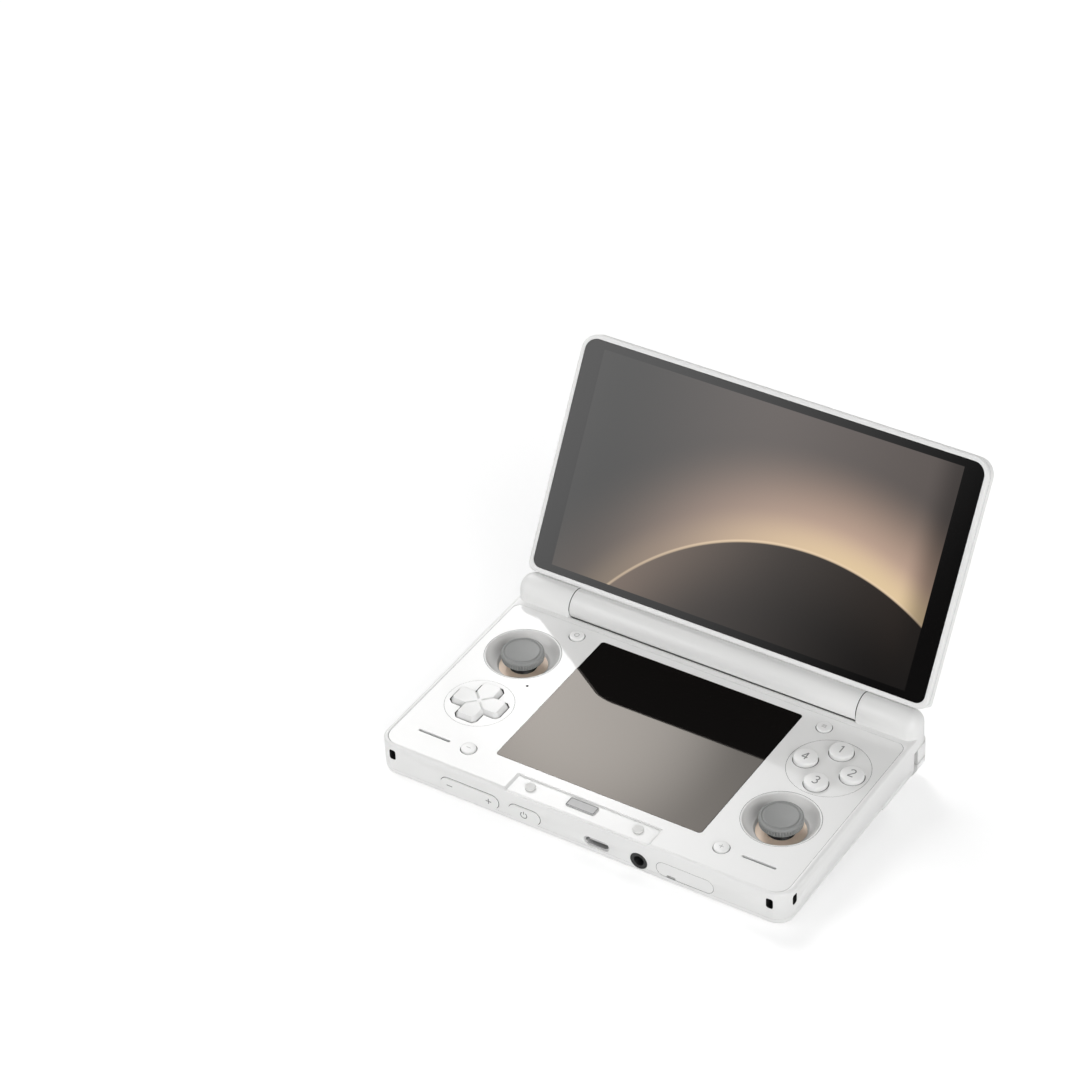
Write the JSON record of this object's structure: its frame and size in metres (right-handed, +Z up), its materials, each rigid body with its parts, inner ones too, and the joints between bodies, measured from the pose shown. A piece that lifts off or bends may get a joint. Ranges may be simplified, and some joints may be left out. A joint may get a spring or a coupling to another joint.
{
  "type": "clamshell handheld game console",
  "caption": "White clamshell handheld console standing open, with a full-face upper screen, a square lower screen, sticks, pad, buttons and shoulder keys.",
  "frame": {"origin": "centre of the footprint of the open console, on the surface it stands on", "axes": "+X to the player's right, along the hinge; +Y from the front face towards the hinge; +Z up"},
  "size_m": [0.15, 0.131, 0.1028],
  "materials": {
    "case_white": "satin moulded white",
    "deck_white": "polished white",
    "key_white": "smooth white",
    "glass_black": "dark cover glass over a display",
    "display": "display module",
    "stick_grey": "fine grained grey",
    "inner_black": "matte black",
    "floor_beige": "warm beige",
    "inner_grey": "moulded grey",
    "steel": "plain",
    "copper": "rolled copper",
    "board": "solder mask",
    "cell": "foil pouch",
    "soft_rubber": "soft",
    "badge_grey": "plain satin plate"
  },
  "bodies": {
    "base": {"upper_case": "case_white", "lower_case": "case_white", "faceplate": "deck_white", "lower_glass": "glass_black", "lower_panel": "display", "main_board": "board", "battery": "cell", "heat_spreader": "copper", "fan_housing": "inner_black", "left_well": "deck_white", "left_well_floor": "floor_beige", "left_stick_housing": "steel", "right_well": "deck_white", "right_well_floor": "floor_beige", "right_stick_housing": "steel", "pad_insert": "deck_white", "button_insert": "deck_white", "left_membrane": "soft_rubber", "right_membrane": "soft_rubber", "key_pins": "steel", "badge_plate": "badge_grey", "rubber_stops": "soft_rubber", "usb_port": "steel", "headphone_jack": "inner_black", "card_slot": "steel", "speakers": "inner_black", "feet": "soft_rubber", "case_screws": "steel", "hinge_pins": "steel"},
    "lid": {"lid_back": "case_white", "lid_frame": "case_white", "lid_glass": "glass_black", "upper_panel": "display", "barrel_cover": "case_white"},
    "fan": {"fan_impeller": "inner_black"},
    "pad_tilt_ring": {"pad_yoke": "inner_grey"},
    "pad": {"direction_pad": "key_white"},
    "left_stick_carrier": {"left_stick_frame": "inner_grey"},
    "left_stick_ring": {"left_stick_yoke": "inner_black"},
    "left_stick": {"left_stick_shaft": "inner_black", "left_stick_cap": "stick_grey"},
    "right_stick_carrier": {"right_stick_frame": "inner_grey"},
    "right_stick_ring": {"right_stick_yoke": "inner_black"},
    "right_stick": {"right_stick_shaft": "inner_black", "right_stick_cap": "stick_grey"},
    "button_east": {"button_east": "key_white"},
    "button_north": {"button_north": "key_white"},
    "button_west": {"button_west": "key_white"},
    "button_south": {"button_south": "key_white"},
    "small_back_left": {"small_back_left": "key_white"},
    "small_back_right": {"small_back_right": "key_white"},
    "small_front_left": {"small_front_left": "key_white"},
    "small_front_right": {"small_front_right": "key_white"},
    "volume_rocker": {"volume_rocker": "case_white"},
    "power_button": {"power_button": "case_white"},
    "left_shoulder": {"left_shoulder": "case_white"},
    "right_shoulder": {"right_shoulder": "case_white"},
    "left_trigger": {"left_trigger": "case_white"},
    "right_trigger": {"right_trigger": "case_white"},
    "card_cover": {"card_cover": "case_white"}
  },
  "joints": [
    {"name": "lid_hinge", "type": "hinge", "parent": "base", "child": "lid", "pos_m": [0, 0.0219, 0.02308], "axis": [1, 0, 0], "range_deg": [-25, 120]},
    {"name": "fan_spin", "type": "hinge", "parent": "base", "child": "fan", "pos_m": [0.015, -0.00017, 0.00928], "axis": [0, -0.0794, 0.9968], "continuous": true},
    {"name": "left_stick_click", "type": "slide", "parent": "base", "child": "left_stick_carrier", "axis": [0, 0.0794, -0.9968], "range_m": [0, 0.0003], "stiffness_N_per_m": 2000, "springref_m": -0.00015},
    {"name": "left_stick_fore_aft", "type": "hinge", "parent": "left_stick_carrier", "child": "left_stick_ring", "pos_m": [-0.0572, -0.00572, 0.00965], "axis": [1, 0, 0], "range_deg": [-10, 10], "stiffness_Nm_per_rad": 0.05},
    {"name": "left_stick_sideways", "type": "hinge", "parent": "left_stick_ring", "child": "left_stick", "pos_m": [-0.0572, -0.00572, 0.00965], "axis": [0, 0.9968, 0.0794], "range_deg": [-10, 10], "stiffness_Nm_per_rad": 0.05},
    {"name": "right_stick_click", "type": "slide", "parent": "base", "child": "right_stick_carrier", "axis": [0, 0.0794, -0.9968], "range_m": [0, 0.0003], "stiffness_N_per_m": 2000, "springref_m": -0.00015},
    {"name": "right_stick_fore_aft", "type": "hinge", "parent": "right_stick_carrier", "child": "right_stick_ring", "pos_m": [0.0559, -0.03373, 0.00742], "axis": [1, 0, 0], "range_deg": [-10, 10], "stiffness_Nm_per_rad": 0.05},
    {"name": "right_stick_sideways", "type": "hinge", "parent": "right_stick_ring", "child": "right_stick", "pos_m": [0.0559, -0.03373, 0.00742], "axis": [0, 0.9968, 0.0794], "range_deg": [-10, 10], "stiffness_Nm_per_rad": 0.05},
    {"name": "pad_fore_aft", "type": "hinge", "parent": "base", "child": "pad_tilt_ring", "pos_m": [-0.0559, -0.03385, 0.00891], "axis": [1, 0, 0], "range_deg": [-2.2, 2.2], "stiffness_Nm_per_rad": 0.1},
    {"name": "pad_sideways", "type": "hinge", "parent": "pad_tilt_ring", "child": "pad", "pos_m": [-0.0559, -0.03385, 0.00891], "axis": [0, 0.9968, 0.0794], "range_deg": [-2.2, 2.2], "stiffness_Nm_per_rad": 0.1},
    {"name": "button_east_press", "type": "slide", "parent": "base", "child": "button_east", "axis": [0, 0.0794, -0.9968], "range_m": [0, 0.001], "stiffness_N_per_m": 300, "springref_m": -0.0005},
    {"name": "button_north_press", "type": "slide", "parent": "base", "child": "button_north", "axis": [0, 0.0794, -0.9968], "range_m": [0, 0.001], "stiffness_N_per_m": 300, "springref_m": -0.0005},
    {"name": "button_west_press", "type": "slide", "parent": "base", "child": "button_west", "axis": [0, 0.0794, -0.9968], "range_m": [0, 0.001], "stiffness_N_per_m": 300, "springref_m": -0.0005},
    {"name": "button_south_press", "type": "slide", "parent": "base", "child": "button_south", "axis": [0, 0.0794, -0.9968], "range_m": [0, 0.001], "stiffness_N_per_m": 300, "springref_m": -0.0005},
    {"name": "small_back_left_press", "type": "slide", "parent": "base", "child": "small_back_left", "axis": [0, 0.0794, -0.9968], "range_m": [0, 0.0005], "stiffness_N_per_m": 400, "springref_m": -0.00025},
    {"name": "small_back_right_press", "type": "slide", "parent": "base", "child": "small_back_right", "axis": [0, 0.0794, -0.9968], "range_m": [0, 0.0005], "stiffness_N_per_m": 400, "springref_m": -0.00025},
    {"name": "small_front_left_press", "type": "slide", "parent": "base", "child": "small_front_left", "axis": [0, 0.0794, -0.9968], "range_m": [0, 0.0005], "stiffness_N_per_m": 400, "springref_m": -0.00025},
    {"name": "small_front_right_press", "type": "slide", "parent": "base", "child": "small_front_right", "axis": [0, 0.0794, -0.9968], "range_m": [0, 0.0005], "stiffness_N_per_m": 400, "springref_m": -0.00025},
    {"name": "volume_rock", "type": "hinge", "parent": "base", "child": "volume_rocker", "pos_m": [-0.03975, -0.06189, 0.00578], "axis": [0, -0.0794, 0.9968], "range_deg": [-1.5, 1.5], "stiffness_Nm_per_rad": 0.05},
    {"name": "power_press", "type": "slide", "parent": "base", "child": "power_button", "axis": [0, 0.9968, 0.0794], "range_m": [0, 0.0004], "stiffness_N_per_m": 400, "springref_m": -0.0002},
    {"name": "left_shoulder_press", "type": "hinge", "parent": "base", "child": "left_shoulder", "pos_m": [-0.0507, 0.02258, 0.0121], "axis": [0, -0.0794, 0.9968], "range_deg": [0, 1.8], "stiffness_Nm_per_rad": 0.1, "springref_deg": -1.72},
    {"name": "right_shoulder_press", "type": "hinge", "parent": "base", "child": "right_shoulder", "pos_m": [0.0507, 0.02258, 0.0121], "axis": [0, -0.0794, 0.9968], "range_deg": [-1.8, 0], "stiffness_Nm_per_rad": 0.1, "springref_deg": 1.72},
    {"name": "left_trigger_pull", "type": "hinge", "parent": "base", "child": "left_trigger", "pos_m": [-0.062, 0.02172, 0.00772], "axis": [1, 0, 0], "range_deg": [-5, 0], "stiffness_Nm_per_rad": 0.1, "springref_deg": 2.86},
    {"name": "right_trigger_pull", "type": "hinge", "parent": "base", "child": "right_trigger", "pos_m": [0.062, 0.02172, 0.00772], "axis": [1, 0, 0], "range_deg": [-5, 0], "stiffness_Nm_per_rad": 0.1, "springref_deg": 2.86},
    {"name": "card_cover_pull", "type": "slide", "parent": "base", "child": "card_cover", "axis": [0, -0.9968, -0.0794], "range_m": [0, 0.004]}
  ]
}
